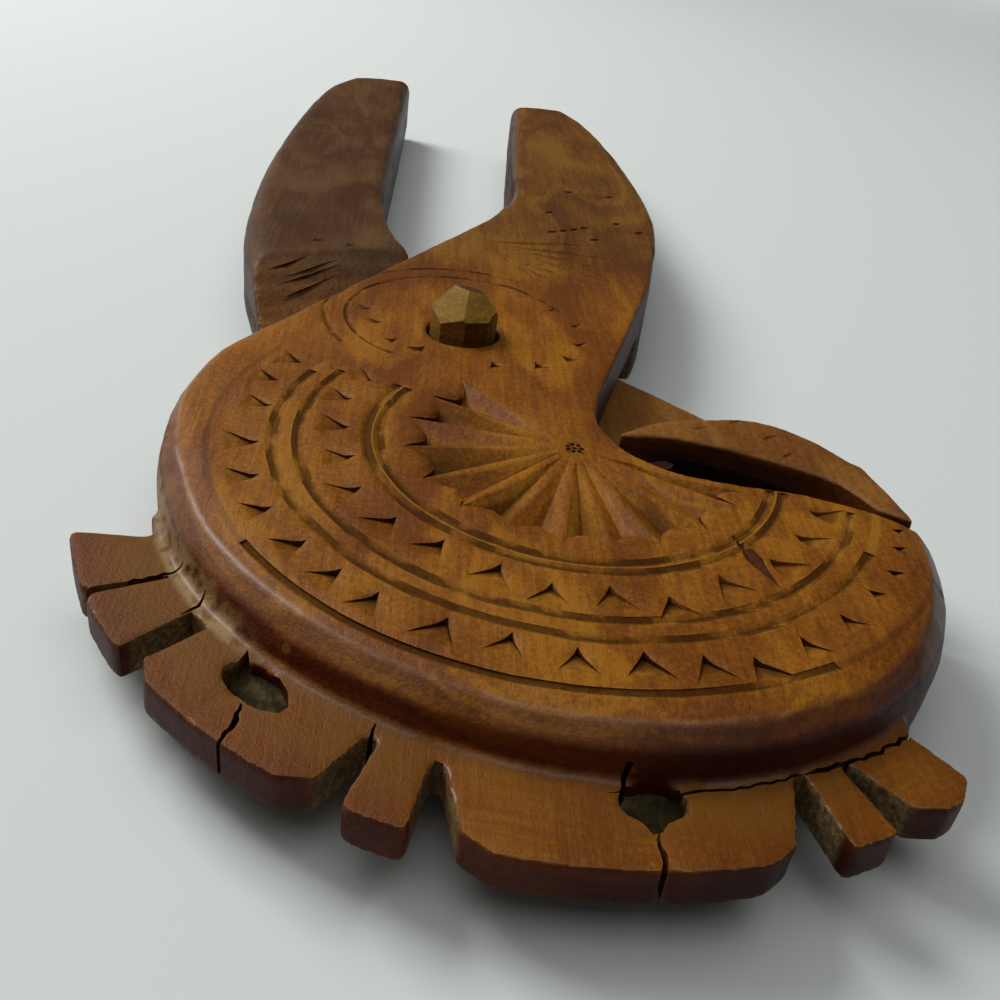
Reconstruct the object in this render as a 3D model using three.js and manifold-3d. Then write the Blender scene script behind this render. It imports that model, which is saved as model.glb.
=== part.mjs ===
// Lever nutcracker carved from two flat boards and a whittled peg.
// One lever is a crested bird's head with its handle, the other is the lower beak with its handle.
// They cross in a half lap on the peg, so squeezing the handles closes the beak on a nut.
// Units are millimetres. The pivot axis is the Z axis, the handles point along +Y,
// and the underside of both levers lies at Z = 0. The levers are shown closed.

import * as THREE from 'three';
import { mergeVertices } from 'three/addons/utils/BufferGeometryUtils.js';
import Module from 'manifold-3d';

const wasm = await Module();
wasm.setup();

// Boards and joint
const boardThickness = 15;
const lapGap = 0.3;
const sideGap = 0.5;
const pegGap = 0.3;
const openingAngle = 35;
const stopAllowance = 1.5;
const overrun = 60;

// Arm of the head lever: two straight sides, each at its distance from the pivot
const armLeftReach = 21.2;
const armLeftNormal = 150;
const armRightReach = 21.6;
const armRightNormal = -17.5;
const neckDrop = 10;

// Head: an oval cheek that the arm's left side bends into at the knee, and that carries the comb
const headLong = 45.8;
const headBroad = 40.6;
const headTurn = -39;
const headDrop = 25.2;
const cheekInset = 1;
const rimRound = 5.2;
const kneeRun = 4.9;
const kneeNormal = 172;
const kneeRound = 2;
const cheekBlend = 24;

// Handles
const gripHalfSpan = 36.5;
const headHandleLength = 143;
const jawHandleLength = 156;
const handleRound = 3.2;
const edgeRound = 1;
const jointRound = 0.5;

// Web of the jaw lever, which runs under the arm
const webUpperReach = 19.5;
const webUpperNormal = 54.5;
const webUpperRun = 12;
const webLowerReach = 16.6;
const heelRun = 22.5;
const shoulderSlope = 33;

// Mouth and beak
const mouthCornerX = 17;
const mouthCornerY = -23;
const mouthTurn = -28.4;
const beakGap = 0.5;
const beakLandLength = 7.5;
const hoodRound = 2;
const seatRim = 2.8;

// Comb
const combShiftX = 3.3;
const combShiftY = 3.7;
const combThickness = 4.4;
const combRootRise = 1.6;
const toothHeight = 8.1;
const combBuried = 8;
const combStart = -165;
const combSweep = 113;
const toothCorner = 0.9;
const broadToothCorner = 3;
const eyeRise = 1;
const eyeLength = 5.6;
const eyeWidth = 3.6;
const kerfWidth = 0.6;

// Peg
const pegRadius = 4.6;
const pegFootChamfer = 0.6;
const pegProud = 6.2;
const pegTopRadius = 2;
const pegChamfer = 2.8;
const pegFacets = 8;

// Carving: a half sun of grooves between raised rays, with two rows of three-sided chips round it
const sunCentreX = 12.8;
const sunCentreY = -30.5;
const rayReach = 20;
const grooveReach = 17.3;
const grooveStart = 3.4;
const grooveDepth = 1.4;
const grooveEndRun = 0.5;
const rayLandTurn = 1;
const innerChipLength = 3.4;
const innerChipWidth = 4.2;
const outerChipLength = 3.1;
const outerChipWidth = 3.6;
const pegChipLength = 2.2;
const pegChipWidth = 2.6;
const chipDepth = 0.9;
const cutLift = 0.4;

// Mesh steps
const roundSteps = 3;
const curveSteps = 15;
const rimSteps = 42;
const boreSides = 24;
const seatSides = 26;
const toothSteps = 6;
const eyeSides = 14;
const smoothTurn = 24;

// Levels that follow from the thickness
const lapLevel = boardThickness / 2;
const webTop = lapLevel - lapGap / 2;
const armUnderside = lapLevel + lapGap / 2;
const sweep = openingAngle + stopAllowance;

// Plan helpers
const radians = THREE.MathUtils.degToRad;
const point = (x, y) => new THREE.Vector2(x, y);
const heading = (degrees) => point(Math.cos(radians(degrees)), Math.sin(radians(degrees)));
const polar = (centre, radius, degrees) => heading(degrees).multiplyScalar(radius).add(centre);
const straight = (from, to) => new THREE.LineCurve(from, to);
const bowed = (points) => new THREE.SplineCurve(points);

// A point on the straight line at a distance from the pivot, moved along that line
function onLine(normal, reach, along) {
  return heading(normal).multiplyScalar(reach).addScaledVector(heading(normal + 90), along);
}

// Where two such lines cross
function crossing(normal, reach, otherNormal, otherReach) {
  const turn = radians(otherNormal - normal);
  return onLine(normal, reach, (otherReach - reach * Math.cos(turn)) / Math.sin(turn));
}

// The tip of the wedge between a line and the same line turned by the sweep
function wedgeTip(normal, reach) {
  return heading(normal + sweep / 2).multiplyScalar(reach / Math.cos(radians(sweep / 2)));
}

// How far the oval cheek reaches out to a side, and where along its rim, as a turn of the oval, it does
function cheekReach(normal) {
  const turn = radians(normal - headTurn);
  return Math.hypot(headLong * Math.cos(turn), headBroad * Math.sin(turn));
}

function cheekTurn(normal) {
  const turn = radians(normal - headTurn);
  return Math.atan2(headBroad * Math.sin(turn), headLong * Math.cos(turn));
}

// The cheek and the comb, which lies a little off the cheek's centre towards the beak
const headCentre = onLine(
  armLeftNormal,
  armLeftReach - cheekInset - cheekReach(armLeftNormal),
  headDrop,
);
const combCentre = headCentre.clone().add(point(combShiftX, combShiftY));
const combRootRadius = headLong + combRootRise;
const combRadius = combRootRadius + toothHeight;
const cheek = (from, to) => new THREE.EllipseCurve(
  headCentre.x, headCentre.y, headLong, headBroad, from, to, false, radians(headTurn),
);

// A place or a step as it would be if the cheek were a circle of radius 1 about the origin
const evened = (place) => place.clone()
  .rotateAround(point(0, 0), -radians(headTurn))
  .divide(point(headLong, headBroad));

// The bite runs from the mouth's corner to the cheek's rim
const mouthCorner = point(mouthCornerX, mouthCornerY);
const biteFrom = evened(mouthCorner.clone().sub(headCentre));
const biteStep = evened(heading(mouthTurn));
const halfTerm = biteFrom.dot(biteStep) / biteStep.lengthSq();
const wholeTerm = (biteFrom.lengthSq() - 1) / biteStep.lengthSq();
const mouthLength = Math.sqrt(halfTerm ** 2 - wholeTerm) - halfTerm;
const beakTurn = biteStep.clone().multiplyScalar(mouthLength).add(biteFrom).angle();
const biteLandShare = 1 - beakLandLength / mouthLength;

// Points along and across the bite, from the mouth's corner, as shares of its length
function bitePoint([along, across]) {
  const place = heading(mouthTurn).multiplyScalar(along * mouthLength);
  return place.addScaledVector(heading(mouthTurn + 90), across * mouthLength).add(mouthCorner);
}

// Points of a handle, as shares of the half span and of the way from its root to its tip
function gripPoints(side, root, length, shares) {
  return shares.map(([across, along]) => point(
    side * across * gripHalfSpan,
    THREE.MathUtils.lerp(root, length, along),
  ));
}

// Solids
function solidOf(geometry) {
  const bare = geometry.clone();
  bare.deleteAttribute('normal');
  bare.deleteAttribute('uv');
  const merged = mergeVertices(bare);
  return new wasm.Manifold(new wasm.Mesh({
    numProp: 3,
    vertProperties: new Float32Array(merged.attributes.position.array),
    triVerts: new Uint32Array(merged.index.array),
  }));
}

function meshOf(name, solid, material) {
  const data = solid.getMesh();
  const geometry = new THREE.BufferGeometry();
  geometry.setAttribute('position', new THREE.BufferAttribute(data.vertProperties, 3));
  geometry.setIndex(new THREE.BufferAttribute(data.triVerts, 1));
  geometry.computeVertexNormals();
  const mesh = new THREE.Mesh(geometry, material);
  mesh.name = name;
  return mesh;
}

function prism(points, bottom, top) {
  const geometry = new THREE.ExtrudeGeometry(new THREE.Shape(points), {
    depth: top - bottom,
    bevelEnabled: false,
  });
  return solidOf(geometry.translate(0, 0, bottom));
}

// A flat board has stretches of outline, each with the rounding of its edges from end to end
function cornersOf(stretches) {
  const corners = [];
  for (const { curve, steps, rounds } of stretches) {
    for (let step = 0; step < steps; step += 1) {
      corners.push({
        place: curve.getPoint(step / steps),
        round: THREE.MathUtils.lerp(rounds[0], rounds[1], step / steps),
      });
    }
  }
  return corners;
}

// How far each corner moves when the sides beside it move in by their own roundings
function insetsOf(corners) {
  return corners.map(({ place, round }, index) => {
    const before = corners.at(index - 1);
    const after = corners[(index + 1) % corners.length];
    const arriving = place.clone().sub(before.place).normalize();
    const leaving = after.place.clone().sub(place).normalize();
    const arrivingIn = point(-arriving.y, arriving.x);
    const leavingIn = point(-leaving.y, leaving.x);
    const alike = arrivingIn.dot(leavingIn);
    if (alike > Math.cos(radians(smoothTurn))) {
      return arrivingIn.add(leavingIn).multiplyScalar(round / (1 + alike));
    }
    const arrivingShare = (before.round - alike * round) / (1 - alike * alike);
    const leavingShare = (round - alike * before.round) / (1 - alike * alike);
    return arrivingIn.multiplyScalar(arrivingShare).addScaledVector(leavingIn, leavingShare);
  });
}

// The board itself: rings of corners from the lower face, round both edges, to the upper face
function board(stretches) {
  const corners = cornersOf(stretches);
  const insets = insetsOf(corners);
  const count = corners.length;
  const positions = [];
  const addRing = (turn, level, rise) => {
    corners.forEach(({ place, round }, index) => {
      const sharpest = Math.max(round, corners.at(index - 1).round);
      const moved = place.clone().addScaledVector(insets[index], 1 - Math.sin(turn));
      positions.push(moved.x, moved.y, level + rise * sharpest * (1 - Math.cos(turn)));
    });
  };
  for (let step = 0; step <= roundSteps; step += 1) {
    addRing((step / roundSteps) * (Math.PI / 2), 0, 1);
  }
  for (let step = roundSteps; step >= 0; step -= 1) {
    addRing((step / roundSteps) * (Math.PI / 2), boardThickness, -1);
  }
  const ringCount = 2 * (roundSteps + 1);
  const faces = [];
  for (let ring = 0; ring < ringCount - 1; ring += 1) {
    for (let index = 0; index < count; index += 1) {
      const low = ring * count + index;
      const lowNext = ring * count + ((index + 1) % count);
      faces.push(low, lowNext, lowNext + count, low, lowNext + count, low + count);
    }
  }
  const face = corners.map(({ place }, index) => place.clone().add(insets[index]));
  const upper = (ringCount - 1) * count;
  for (const [a, b, c] of THREE.ShapeUtils.triangulateShape(face, [])) {
    faces.push(a, c, b, upper + a, upper + b, upper + c);
  }
  const geometry = new THREE.BufferGeometry();
  geometry.setAttribute('position', new THREE.Float32BufferAttribute(positions, 3));
  geometry.setIndex(faces);
  return solidOf(geometry);
}

// Head lever: handle, straight arm, round cheek, and the upper side of the bite
const crookShare = 0.322;
const neckTopShare = 0.238;
const headGripInnerShares = [[0.2, 0.406], [0.277, 0.478], [0.299, 0.68], [0.37, 0.991]];
const headGripTipShares = [[0.55, 1], [0.737, 0.999]];
const headGripOuterShares = [[0.87, 0.895], [0.956, 0.737], [1, 0.59], [1.01, 0.468], [0.975, 0.352]];
const headBiteShares = [
  [0.608, -0.036], [0.346, -0.131], [0.167, -0.131], [0.053, -0.068], [0.002, -0.017],
];
const headBiteRootShare = [-0.034, 0.051];
const hoodReachShare = 0.93;

function headBoard() {
  const inner = gripPoints(1, 0, headHandleLength, headGripInnerShares);
  const tip = gripPoints(1, 0, headHandleLength, headGripTipShares);
  const outer = gripPoints(1, 0, headHandleLength, headGripOuterShares);
  const crook = onLine(armLeftNormal, armLeftReach, -crookShare * headHandleLength);
  const neckTop = onLine(armRightNormal, armRightReach, neckTopShare * headHandleLength);
  const neckFoot = onLine(armRightNormal, armRightReach, -neckDrop);
  const kneeLine = headCentre.dot(heading(kneeNormal)) + cheekReach(kneeNormal);
  const kneeBend = crossing(armLeftNormal, armLeftReach, kneeNormal, kneeLine);
  const kneeStart = kneeBend.clone().addScaledVector(heading(armLeftNormal - 90), kneeRun);
  const cheekStart = cheekTurn(kneeNormal);
  const rollStart = cheekStart + radians(cheekBlend);
  const knee = new THREE.QuadraticBezierCurve(kneeStart, kneeBend, cheek(cheekStart, rollStart).getPoint(0));
  const beakEnd = bitePoint([1, 0]);
  const biteLand = bitePoint([biteLandShare, 0]);
  const bite = [biteLand, ...headBiteShares.map(bitePoint), bitePoint(headBiteRootShare), neckFoot];
  return board([
    { curve: bowed([tip[1], tip[0], inner[3]]), steps: 4, rounds: [handleRound, handleRound] },
    { curve: bowed([...inner.toReversed(), crook]), steps: curveSteps, rounds: [handleRound, edgeRound] },
    { curve: straight(crook, kneeStart), steps: 1, rounds: [edgeRound, edgeRound] },
    { curve: knee, steps: 4, rounds: [edgeRound, kneeRound] },
    { curve: cheek(cheekStart, rollStart), steps: 5, rounds: [kneeRound, rimRound] },
    { curve: cheek(rollStart, beakTurn), steps: rimSteps, rounds: [rimRound, rimRound] },
    { curve: straight(beakEnd, biteLand), steps: 1, rounds: [jointRound, jointRound] },
    { curve: bowed(bite), steps: 2 * curveSteps, rounds: [jointRound, jointRound] },
    { curve: straight(neckFoot, neckTop), steps: 1, rounds: [jointRound, jointRound] },
    {
      curve: bowed([neckTop, ...outer.toReversed(), tip[1]]),
      steps: 2 * curveSteps,
      rounds: [jointRound, handleRound],
    },
  ]);
}

// Comb: teeth as shares of its sweep at the root and at the tip, the broad ones with cut corners
const combTeeth = [
  { rootShares: [0.04, 0.117], tipShares: [0.018, 0.111], corner: toothCorner },
  { rootShares: [0.123, 0.187], tipShares: [0.118, 0.2], corner: toothCorner },
  { rootShares: [0.215, 0.433], tipShares: [0.218, 0.422], corner: broadToothCorner },
  { rootShares: [0.442, 0.498], tipShares: [0.447, 0.503], corner: toothCorner },
  { rootShares: [0.505, 0.837], tipShares: [0.537, 0.798], corner: broadToothCorner },
  { rootShares: [0.845, 0.889], tipShares: [0.837, 0.887], corner: toothCorner },
  { rootShares: [0.896, 0.987], tipShares: [0.913, 0.987], corner: broadToothCorner },
];
const eyeShares = [0.303, 0.693];
const combAngle = (share) => combStart + share * combSweep;

function toothSolid({ rootShares, tipShares, corner }) {
  const turn = THREE.MathUtils.radToDeg(corner / combRadius);
  const first = combAngle(tipShares[0]);
  const last = combAngle(tipShares[1]);
  const shoulder = combRadius - corner / 2;
  const outline = [polar(combCentre, combRootRadius - combBuried, combAngle(rootShares[0]))];
  outline.push(polar(combCentre, combRootRadius, combAngle(rootShares[0])));
  outline.push(polar(combCentre, shoulder, first));
  for (let step = 0; step <= toothSteps; step += 1) {
    const angle = THREE.MathUtils.lerp(first + turn, last - turn, step / toothSteps);
    outline.push(polar(combCentre, combRadius, angle));
  }
  outline.push(polar(combCentre, shoulder, last));
  outline.push(polar(combCentre, combRootRadius, combAngle(rootShares[1])));
  outline.push(polar(combCentre, combRootRadius - combBuried, combAngle(rootShares[1])));
  return prism(outline, lapLevel - combThickness / 2, lapLevel + combThickness / 2);
}

// The root strip joins the teeth where the cheek alone would leave them apart
function combRoot() {
  const outline = [];
  for (const radius of [combRootRadius - combBuried, combRootRadius]) {
    const arc = [];
    for (let step = 0; step <= rimSteps / 2; step += 1) {
      arc.push(polar(combCentre, radius, combAngle(step / (rimSteps / 2))));
    }
    outline.push(...(radius < combRootRadius ? arc.toReversed() : arc));
  }
  return prism(outline, lapLevel - combThickness / 2, lapLevel + combThickness / 2);
}

// Each broad tooth has a leaf-shaped eye at its root, and a saw kerf from the eye to its edge
function eyeSolid(share) {
  const eye = new THREE.CylinderGeometry(1, 1, overrun, eyeSides);
  const away = combRootRadius + eyeRise;
  eye.rotateX(Math.PI / 2).scale(eyeWidth / 2, eyeLength / 2, 1).translate(away, 0, 0);
  const kerf = new THREE.BoxGeometry(overrun, kerfWidth, overrun).translate(away + overrun / 2, 0, 0);
  const cut = solidOf(eye).add(solidOf(kerf));
  return cut.rotate([0, 0, combAngle(share)]).translate([combCentre.x, combCentre.y, 0]);
}

// The seat for the nut is one egg-shaped hollow, half in each jaw, under a rim on both faces
const seatAlongShare = 0.44;
const seatLengthShare = 0.775;
const seatWidthShare = 0.435;

function seatSolid() {
  const length = seatLengthShare * mouthLength;
  const width = seatWidthShare * mouthLength;
  const seat = new THREE.SphereGeometry(1, seatSides, seatSides / 2).rotateX(Math.PI / 2);
  seat.scale(length / 2, width / 2, lapLevel - seatRim).rotateZ(radians(mouthTurn));
  const centre = bitePoint([seatAlongShare, 0]);
  return solidOf(seat.translate(centre.x, centre.y, lapLevel));
}

function boreSolid() {
  const bore = new THREE.CylinderGeometry(pegRadius + pegGap, pegRadius + pegGap, overrun, boreSides);
  return solidOf(bore.rotateX(Math.PI / 2));
}

// The web's lower side runs from the throat of the mouth and passes the pivot at its own distance
const jawThroatShare = [0.069, -0.056];
const throat = bitePoint(jawThroatShare);
const webLowerNormal = THREE.MathUtils.radToDeg(throat.angle() - Math.acos(webLowerReach / throat.length()));

// Under the arm both sides of the web need room as it turns, which leaves a wedge above and below
function lapRecess() {
  const upper = webUpperReach + sideGap;
  const lower = webLowerReach + sideGap;
  const upperTip = wedgeTip(webUpperNormal, upper);
  const lowerTip = wedgeTip(webLowerNormal, lower);
  return prism([
    upperTip,
    upperTip.clone().addScaledVector(heading(webUpperNormal + 90), overrun),
    lowerTip.clone().addScaledVector(heading(webLowerNormal + sweep - 90), overrun),
    lowerTip,
    lowerTip.clone().addScaledVector(heading(webLowerNormal + 90), overrun),
    upperTip.clone().addScaledVector(heading(webUpperNormal + sweep - 90), overrun),
  ], -overrun, armUnderside);
}

// A cutter for one notch in the upper face: its rim lies in the face and its foot at the depth below
function notchSolid(rim, foot, depth) {
  const grown = 1 + cutLift / depth;
  const places = rim.map((place) => place.clone().sub(foot).multiplyScalar(grown).add(foot));
  const positions = [foot.x, foot.y, boardThickness - depth];
  for (const { x, y } of places) positions.push(x, y, boardThickness + cutLift);
  const faces = [];
  for (let index = 1; index <= places.length; index += 1) {
    faces.push(0, (index % places.length) + 1, index);
  }
  for (const [a, b, c] of THREE.ShapeUtils.triangulateShape(places, [])) {
    faces.push(a + 1, b + 1, c + 1);
  }
  const geometry = new THREE.BufferGeometry();
  geometry.setAttribute('position', new THREE.Float32BufferAttribute(positions, 3));
  geometry.setIndex(faces);
  return solidOf(geometry);
}

// Angles of the sun's raised rays; a groove lies between each two, and its end bows in towards the centre
const sunCentre = point(sunCentreX, sunCentreY);
const rayAngles = [131, 149, 168, 188, 208.5, 227, 243.5, 261, 276, 291, 310, 330, 339];

function grooveSolid(angle, nextAngle) {
  const first = angle + rayLandTurn / 2;
  const last = nextAngle - rayLandTurn / 2;
  const middle = (first + last) / 2;
  return notchSolid([
    polar(sunCentre, grooveStart, middle),
    polar(sunCentre, rayReach, first),
    polar(sunCentre, grooveReach, middle),
    polar(sunCentre, rayReach, last),
  ], polar(sunCentre, grooveReach - grooveEndRun, middle), grooveDepth);
}

// Chips point at the sun: the angle and the distance of each point
const innerChips = [
  [152, 27.3], [164, 27.3], [178.5, 26], [193, 25.6], [207, 26.7], [221, 26.4], [234, 25.6], [248.5, 25.9],
  [260, 26.9], [272, 26.4], [283.5, 28.1], [298, 26.2], [313, 26.9], [327, 26.7], [339.5, 27.2],
];
const outerChips = [
  [173, 35.5], [187, 35.8], [198, 36.3], [208, 36.7], [218.5, 36.3], [227.5, 36.5], [235, 36.6], [246, 36],
  [255.5, 35.5], [265, 36], [274.5, 35.9], [283, 36.7], [290, 37.8], [299.5, 37], [309.5, 36.6],
];
const pegChips = [
  [-12.9, 5], [-11.1, 0.8], [-8.8, -4.4], [-5.1, -6.1], [3.8, -8.9], [9.6, -7.9], [13.5, -4.9],
  [15.3, -0.6], [15.5, 5.4], [12.7, 10.2],
];
const chipFootShare = 0.15;

function chipSolid(place, turn, length, width) {
  const outward = heading(turn).multiplyScalar(length);
  const across = heading(turn + 90).multiplyScalar(width / 2);
  const end = place.clone().add(outward);
  const rim = [place, end.clone().sub(across), end.clone().add(across)];
  return notchSolid(rim, place.clone().addScaledVector(outward, chipFootShare), chipDepth);
}

function carving() {
  const cuts = [];
  for (let index = 1; index < rayAngles.length; index += 1) {
    cuts.push(grooveSolid(rayAngles[index - 1], rayAngles[index]));
  }
  for (const [turn, away] of innerChips) {
    cuts.push(chipSolid(polar(sunCentre, away, turn), turn, innerChipLength, innerChipWidth));
  }
  for (const [turn, away] of outerChips) {
    cuts.push(chipSolid(polar(sunCentre, away, turn), turn, outerChipLength, outerChipWidth));
  }
  for (const [x, y] of pegChips) {
    const turn = THREE.MathUtils.radToDeg(Math.atan2(y, x));
    cuts.push(chipSolid(point(x, y), turn, pegChipLength, pegChipWidth));
  }
  return cuts;
}

function headLever() {
  let comb = combRoot();
  for (const tooth of combTeeth) comb = comb.add(toothSolid(tooth));
  let lever = headBoard().add(comb);
  for (const share of eyeShares) lever = lever.subtract(eyeSolid(share));
  for (const cut of carving()) lever = lever.subtract(cut);
  return lever.subtract(lapRecess()).subtract(seatSolid()).subtract(boreSolid());
}

// Jaw lever: handle, web under the arm, and the hood that is the lower beak
const jawGripInnerShares = [
  [0.304, 0.071], [0.367, 0.175], [0.375, 0.298], [0.365, 0.473], [0.345, 0.757], [0.33, 0.996],
];
const jawGripTipShares = [[0.542, 1], [0.745, 0.983]];
const jawGripOuterShares = [
  [0.885, 0.897], [0.967, 0.731], [1.011, 0.545], [1.019, 0.397], [0.992, 0.263], [0.953, 0.192],
  [0.89, 0.135], [0.775, 0.032],
];
const jawBiteShares = [
  [0.148, 0.002], [0.228, 0.044], [0.344, 0.073], [0.465, 0.087], [0.576, 0.097], [0.692, 0.087],
];
const hoodRidgeShares = [
  [0.07, -0.024], [0.102, 0.046], [0.14, 0.111], [0.235, 0.213], [0.344, 0.3], [0.462, 0.329],
  [0.591, 0.303], [0.702, 0.247],
];
const hoodBackShares = [[0.884, 0.068], [0.806, 0.17], [0.695, 0.295], [0.496, 0.474], [0.174, 0.6]];

function jawBoard() {
  const crotch = crossing(webUpperNormal, webUpperReach, armLeftNormal, armLeftReach + sideGap);
  const inner = gripPoints(-1, crotch.y, jawHandleLength, jawGripInnerShares);
  const tip = gripPoints(-1, 0, jawHandleLength, jawGripTipShares);
  const outer = gripPoints(-1, 0, jawHandleLength, jawGripOuterShares);
  const heel = onLine(webLowerNormal, webLowerReach, -heelRun);
  const away = beakGap / mouthLength;
  const beakLand = bitePoint([biteLandShare, away]);
  const beakEnd = bitePoint([hoodReachShare, away]);
  const bite = [throat, ...jawBiteShares.map(bitePoint), beakLand];
  const hoodBack = hoodBackShares.map(bitePoint);
  const shoulder = onLine(webUpperNormal, webUpperReach, -webUpperRun);
  return board([
    { curve: bowed([inner[5], tip[0], tip[1]]), steps: 4, rounds: [handleRound, handleRound] },
    { curve: bowed([tip[1], ...outer, heel]), steps: 2 * curveSteps, rounds: [handleRound, handleRound] },
    { curve: straight(heel, throat), steps: 1, rounds: [jointRound, jointRound] },
    { curve: bowed(bite), steps: curveSteps, rounds: [jointRound, jointRound] },
    { curve: straight(beakLand, beakEnd), steps: 1, rounds: [jointRound, jointRound] },
    { curve: straight(beakEnd, hoodBack[0]), steps: 1, rounds: [jointRound, jointRound] },
    {
      curve: bowed([...hoodBack, shoulder]),
      steps: curveSteps,
      rounds: [jointRound, hoodRound],
    },
    { curve: straight(shoulder, crotch), steps: 1, rounds: [jointRound, jointRound] },
    { curve: bowed([crotch, ...inner]), steps: curveSteps, rounds: [edgeRound, handleRound] },
  ]);
}

// Everything above the web goes, between the handle's wedge-shaped shoulder and the ridge of the hood
function webClearing() {
  const reach = armLeftReach + sideGap;
  const tip = wedgeTip(armLeftNormal - sweep, reach);
  const ridge = bowed(hoodRidgeShares.map(bitePoint)).getPoints(2 * curveSteps);
  return prism([
    tip,
    tip.clone().addScaledVector(heading(armLeftNormal - sweep + 90), overrun),
    bitePoint(hoodRidgeShares[0]).addScaledVector(heading(mouthTurn - 90), overrun),
    ...ridge,
    ridge.at(-1).clone().addScaledVector(heading(mouthTurn), overrun),
    tip.clone().addScaledVector(heading(armLeftNormal - 90), overrun),
  ], webTop, boardThickness + overrun);
}

// The shoulder under the turning arm slopes up from the web to the face of the handle
function shoulderRamp() {
  const normal = armLeftNormal - sweep;
  const run = overrun / Math.tan(radians(shoulderSlope));
  const ramp = new THREE.Shape([point(0, 0), point(run, overrun), point(0, overrun)]);
  const geometry = new THREE.ExtrudeGeometry(ramp, { depth: 2 * overrun, bevelEnabled: false });
  geometry.translate(armLeftReach, webTop, -overrun).rotateX(Math.PI / 2).rotateZ(radians(normal));
  return solidOf(geometry);
}

function jawLever() {
  const lever = jawBoard().subtract(webClearing()).subtract(shoulderRamp());
  return lever.subtract(seatSolid()).subtract(boreSolid());
}

// Peg: whittled to flats, with a chamfered top that stands above the head lever
function pegSolid() {
  const top = boardThickness + pegProud;
  const profile = [
    point(0, 0),
    point(pegRadius - pegFootChamfer, 0),
    point(pegRadius, pegFootChamfer),
    point(pegRadius, top - pegChamfer),
    point(pegTopRadius, top),
    point(0, top),
  ];
  return solidOf(new THREE.LatheGeometry(profile, pegFacets).rotateX(Math.PI / 2));
}

const oldWood = new THREE.MeshStandardMaterial({ color: 0x8f4c17, roughness: 0.42, metalness: 0 });
const darkWood = new THREE.MeshStandardMaterial({ color: 0x7d4018, roughness: 0.42, metalness: 0 });
const pegWood = new THREE.MeshStandardMaterial({ color: 0xa9792f, roughness: 0.5, metalness: 0 });

const nutcracker = new THREE.Group();
nutcracker.add(meshOf('head_lever', headLever(), oldWood));
nutcracker.add(meshOf('jaw_lever', jawLever(), darkWood));
nutcracker.add(meshOf('pivot_peg', pegSolid(), pegWood));

export default nutcracker;
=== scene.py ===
"""Carved wooden nutcracker: two crossed levers with a crested bird's head, and their whittled peg.

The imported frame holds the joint, sizes and places. This script dresses it: worn rounded wood, the chip
carving that covers the head and handles, the saw cuts and drying cracks of the comb, and old varnish.
Lengths below are in millimetres unless their name says otherwise, and become metres through MM.
"""
import math
import random

import bpy
from mathutils import Matrix, Vector


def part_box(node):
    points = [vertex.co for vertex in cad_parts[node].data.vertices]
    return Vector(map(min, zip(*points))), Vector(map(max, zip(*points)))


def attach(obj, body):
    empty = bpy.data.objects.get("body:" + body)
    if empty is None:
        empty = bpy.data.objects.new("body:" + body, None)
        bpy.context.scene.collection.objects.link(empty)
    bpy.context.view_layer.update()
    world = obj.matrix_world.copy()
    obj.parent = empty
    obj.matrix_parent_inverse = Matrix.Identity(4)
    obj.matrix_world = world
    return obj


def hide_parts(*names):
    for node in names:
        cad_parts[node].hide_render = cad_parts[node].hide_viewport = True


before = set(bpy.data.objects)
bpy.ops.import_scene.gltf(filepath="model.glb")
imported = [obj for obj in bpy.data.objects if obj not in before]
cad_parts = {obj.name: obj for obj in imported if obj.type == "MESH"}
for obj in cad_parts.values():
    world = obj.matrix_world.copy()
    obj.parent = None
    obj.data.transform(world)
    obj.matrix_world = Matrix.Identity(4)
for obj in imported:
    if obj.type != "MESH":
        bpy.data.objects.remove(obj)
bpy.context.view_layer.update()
bpy.ops.object.select_all(action="DESELECT")

MM = 0.001
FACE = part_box("head_lever")[1][2] / MM
LAP = FACE / 2
SEED = 7
MERGE = 0.01
SMOOTH_ANGLE = 38

# Camera, at the photograph's angle
CAMERA_PLACE = (-7.44, -141.31, 76.6)
CAMERA_HEADING = (0.1115, 0.9938)
CAMERA_PITCH = 32
CAMERA_ROLL = 8
CAMERA_LENS_WIDTH = 39.6
SENSOR_WIDTH = 36
NEAREST_SEEN = 5

# Studio: the floor fades into the background, and each lamp has its place, size and watts
FLOOR_WIDTH = 8000
FLOOR_FADE = (420, 950)
FLOOR_TONE = (0.64, 0.67, 0.65, 1)
BACKGROUND = (0.94, 0.97, 0.96, 1)
BACKGROUND_LEVEL = 0.62
WORLD_LEVEL = 0.07
WINDOW_LAMP = ((-650, 520, 760), 560, 11.6)
CEILING_LAMP = ((0, -120, 1300), 1500, 7.6)

# Worn surface: size of the even mesh, rounding of its edges, and the hand tool's unevenness
LEVER_VOXEL = 0.42
SMOOTH_REPEATS = 9
KEPT_FACES = 0.5
KNIFE_WAVE = 7
KNIFE_DEPTH = 0.28
KNIFE_DETAIL = 2
TOP = FACE - KNIFE_DEPTH / 2

# Sun: grooves between raised rays, round a punched star
SUN = (12.8, -30.5)
RAY_ANGLES = (131, 149, 168, 188, 208.5, 227, 243.5, 261, 276, 291, 310, 330, 339)
RAY_REACH = 20
GROOVE_REACH = 17.3
GROOVE_START = 2.6
GROOVE_DEPTH = 1.5
GROOVE_DEEPER = 1.4
GROOVE_WORN = (200, 290)
GROOVE_TURN = 20
GROOVE_END_RUN = 0.35
GROOVE_WALL_STEPS = 6
STAR_RADIUS = 0.85
STAR_PITS = 7
PIT_SIZE = 0.34
PIT_DEPTH = 0.6
PIT_LIFT = 0.1

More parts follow.
